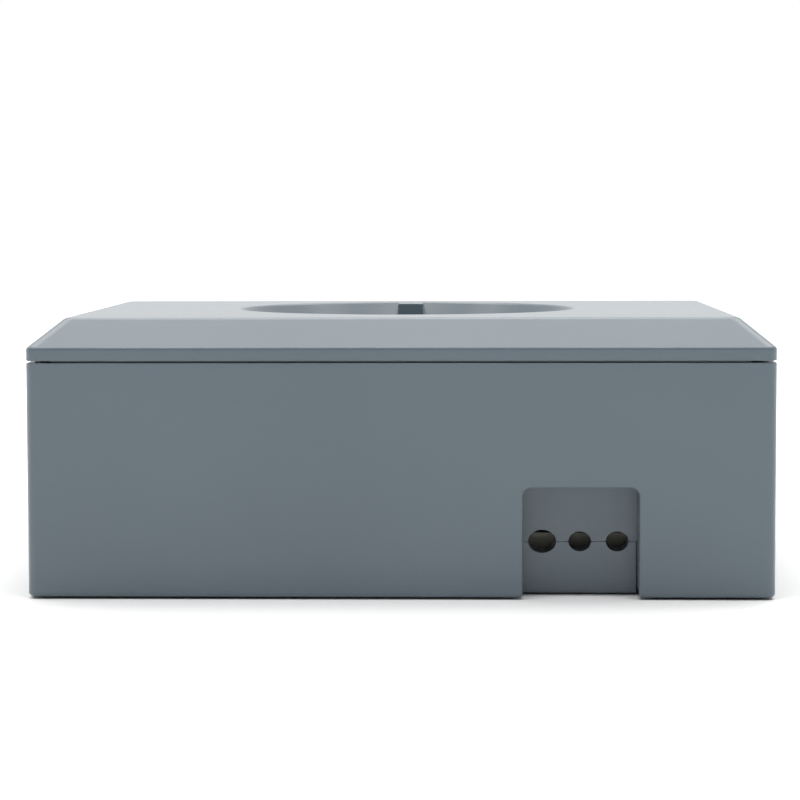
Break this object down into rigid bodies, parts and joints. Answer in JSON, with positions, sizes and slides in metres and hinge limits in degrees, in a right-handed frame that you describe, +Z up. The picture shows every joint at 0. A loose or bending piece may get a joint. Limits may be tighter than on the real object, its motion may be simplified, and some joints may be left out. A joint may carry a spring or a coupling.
{
  "type": "bill validator",
  "caption": "Low countertop bill validator with a bevelled slide-off lid, cable recess at the rear, belt-driven note transport and a lockable cash drawer.",
  "frame": {"origin": "centre of the bounding box at the underside of the feet", "axes": "+Z up; +Y towards the note slot and drawer, -Y the rear with the cable recess; +X to the right seen from the rear"},
  "size_m": [0.28, 0.21, 0.105],
  "materials": {
    "housing_plastic": "fine spark texture",
    "feet_rubber": "matt",
    "screw_steel": "zinc plated",
    "rail_plastic": "moulded acetal",
    "runner_aluminium": "anodised",
    "chassis_steel": "galvanised sheet",
    "plate_steel": "galvanised sheet",
    "bushing_bronze": "sintered bronze",
    "guide_plastic": "smooth black",
    "window_clear": "clear",
    "sensor_plastic": "smooth",
    "belt_rubber": "moulded",
    "motor_steel": "plated can",
    "shaft_steel": "ground",
    "roller_rubber": "ground",
    "pulley_aluminium": "machined",
    "wheel_rubber": "soft moulded",
    "frame_paint": "satin",
    "bezel_plastic": "polished black",
    "light_plastic": "translucent",
    "lamp_plastic": "translucent lens",
    "button_plastic": "smooth",
    "spring_steel": "bright wire",
    "board_green": "solder mask",
    "chip_plastic": "moulded",
    "supply_steel": "folded sheet",
    "terminal_plastic": "moulded",
    "socket_plastic": "moulded",
    "drawer_plastic": "moulded",
    "lock_chrome": "polished",
    "strike_zinc": "die cast"
  },
  "bodies": {
    "housing": {"body_shell": "housing_plastic", "base_tray": "housing_plastic", "rubber_feet": "feet_rubber", "base_screws": "screw_steel", "lid_rails": "rail_plastic", "chassis": "chassis_steel", "drawer_runners": "rail_plastic", "lock_strike": "strike_zinc", "transport_plates": "plate_steel", "shaft_bushings": "bushing_bronze", "lower_guide": "guide_plastic", "sensor_window": "window_clear", "lower_sensor": "sensor_plastic", "timing_belt": "belt_rubber", "stacker_belt": "belt_rubber", "drive_motor": "motor_steel", "motor_bracket": "plate_steel", "slot_bezel": "bezel_plastic", "light_guide": "light_plastic", "status_lamps": "lamp_plastic", "button_spring": "spring_steel", "front_board": "board_green", "board_carrier": "plate_steel", "main_board": "board_green", "board_parts": "chip_plastic", "power_supply": "supply_steel", "supply_terminals": "terminal_plastic", "interface_board": "board_green", "cable_sockets": "socket_plastic"},
    "lid": {"lid": "housing_plastic", "lid_runners": "runner_aluminium", "lid_screws": "screw_steel"},
    "front_rollers": {"front_drive_shaft": "shaft_steel", "front_drive_rollers": "roller_rubber", "front_pulley": "pulley_aluminium"},
    "rear_rollers": {"rear_drive_shaft": "shaft_steel", "rear_drive_rollers": "roller_rubber", "rear_pulleys": "pulley_aluminium"},
    "stacker": {"stacker_shaft": "shaft_steel", "stacker_pulley": "pulley_aluminium", "stacking_wheels": "wheel_rubber"},
    "motor_rotor": {"motor_pulley": "pulley_aluminium"},
    "pinch_frame": {"pinch_frame": "frame_paint", "upper_guide": "guide_plastic", "upper_sensor": "sensor_plastic"},
    "front_pinch": {"front_pinch_shaft": "shaft_steel", "front_pinch_rollers": "roller_rubber"},
    "rear_pinch": {"rear_pinch_shaft": "shaft_steel", "rear_pinch_rollers": "roller_rubber"},
    "button": {"push_button": "button_plastic"},
    "drawer": {"cash_drawer": "drawer_plastic", "drawer_front": "housing_plastic", "drawer_pull": "drawer_plastic", "lock_barrel": "lock_chrome", "plate_springs": "spring_steel"},
    "note_plate": {"note_plate": "rail_plastic"},
    "lock": {"lock_plug": "lock_chrome", "lock_cam": "screw_steel"}
  },
  "joints": [
    {"name": "lid_slide", "type": "slide", "parent": "housing", "child": "lid", "axis": [0, 1, 0], "range_m": [0, 0.09]},
    {"name": "drawer_slide", "type": "slide", "parent": "housing", "child": "drawer", "axis": [0, 1, 0], "range_m": [0, 0.1]},
    {"name": "note_plate_lift", "type": "slide", "parent": "drawer", "child": "note_plate", "axis": [0, 0, 1], "range_m": [-0.018, 0], "stiffness_N_per_m": 120, "springref_m": 0.012, "deforming": ["plate_springs"]},
    {"name": "lock_turn", "type": "hinge", "parent": "drawer", "child": "lock", "pos_m": [0.022, 0.095, 0.022], "axis": [0, 1, 0], "range_deg": [0, 90]},
    {"name": "front_rollers_turn", "type": "hinge", "parent": "housing", "child": "front_rollers", "pos_m": [0, 0.088, 0.06], "axis": [1, 0, 0], "continuous": true},
    {"name": "rear_rollers_turn", "type": "hinge", "parent": "housing", "child": "rear_rollers", "pos_m": [0, 0.034, 0.06], "axis": [1, 0, 0], "continuous": true},
    {"name": "stacker_turn", "type": "hinge", "parent": "housing", "child": "stacker", "pos_m": [0, 0.002, 0.06], "axis": [1, 0, 0], "continuous": true},
    {"name": "motor_turn", "type": "hinge", "parent": "housing", "child": "motor_rotor", "pos_m": [0, 0.061, 0.036], "axis": [1, 0, 0], "continuous": true},
    {"name": "pinch_frame_lift", "type": "hinge", "parent": "housing", "child": "pinch_frame", "pos_m": [0, 0.024, 0.076], "axis": [1, 0, 0], "range_deg": [0, 6]},
    {"name": "front_pinch_turn", "type": "hinge", "parent": "pinch_frame", "child": "front_pinch", "pos_m": [0, 0.088, 0.0739], "axis": [1, 0, 0], "continuous": true},
    {"name": "rear_pinch_turn", "type": "hinge", "parent": "pinch_frame", "child": "rear_pinch", "pos_m": [0, 0.034, 0.0739], "axis": [1, 0, 0], "continuous": true},
    {"name": "button_press", "type": "slide", "parent": "housing", "child": "button", "axis": [0, 1, 0], "range_m": [-0.0012, 0], "stiffness_N_per_m": 600, "springref_m": 0.001, "deforming": ["button_spring"]}
  ],
  "couplings": [
    {"joint": "front_rollers_turn", "follows": "rear_rollers_turn", "ratio": 1},
    {"joint": "stacker_turn", "follows": "rear_rollers_turn", "ratio": 1},
    {"joint": "motor_turn", "follows": "rear_rollers_turn", "ratio": 1.25},
    {"joint": "front_pinch_turn", "follows": "rear_rollers_turn", "ratio": -1.0769},
    {"joint": "rear_pinch_turn", "follows": "rear_rollers_turn", "ratio": -1.0769}
  ]
}
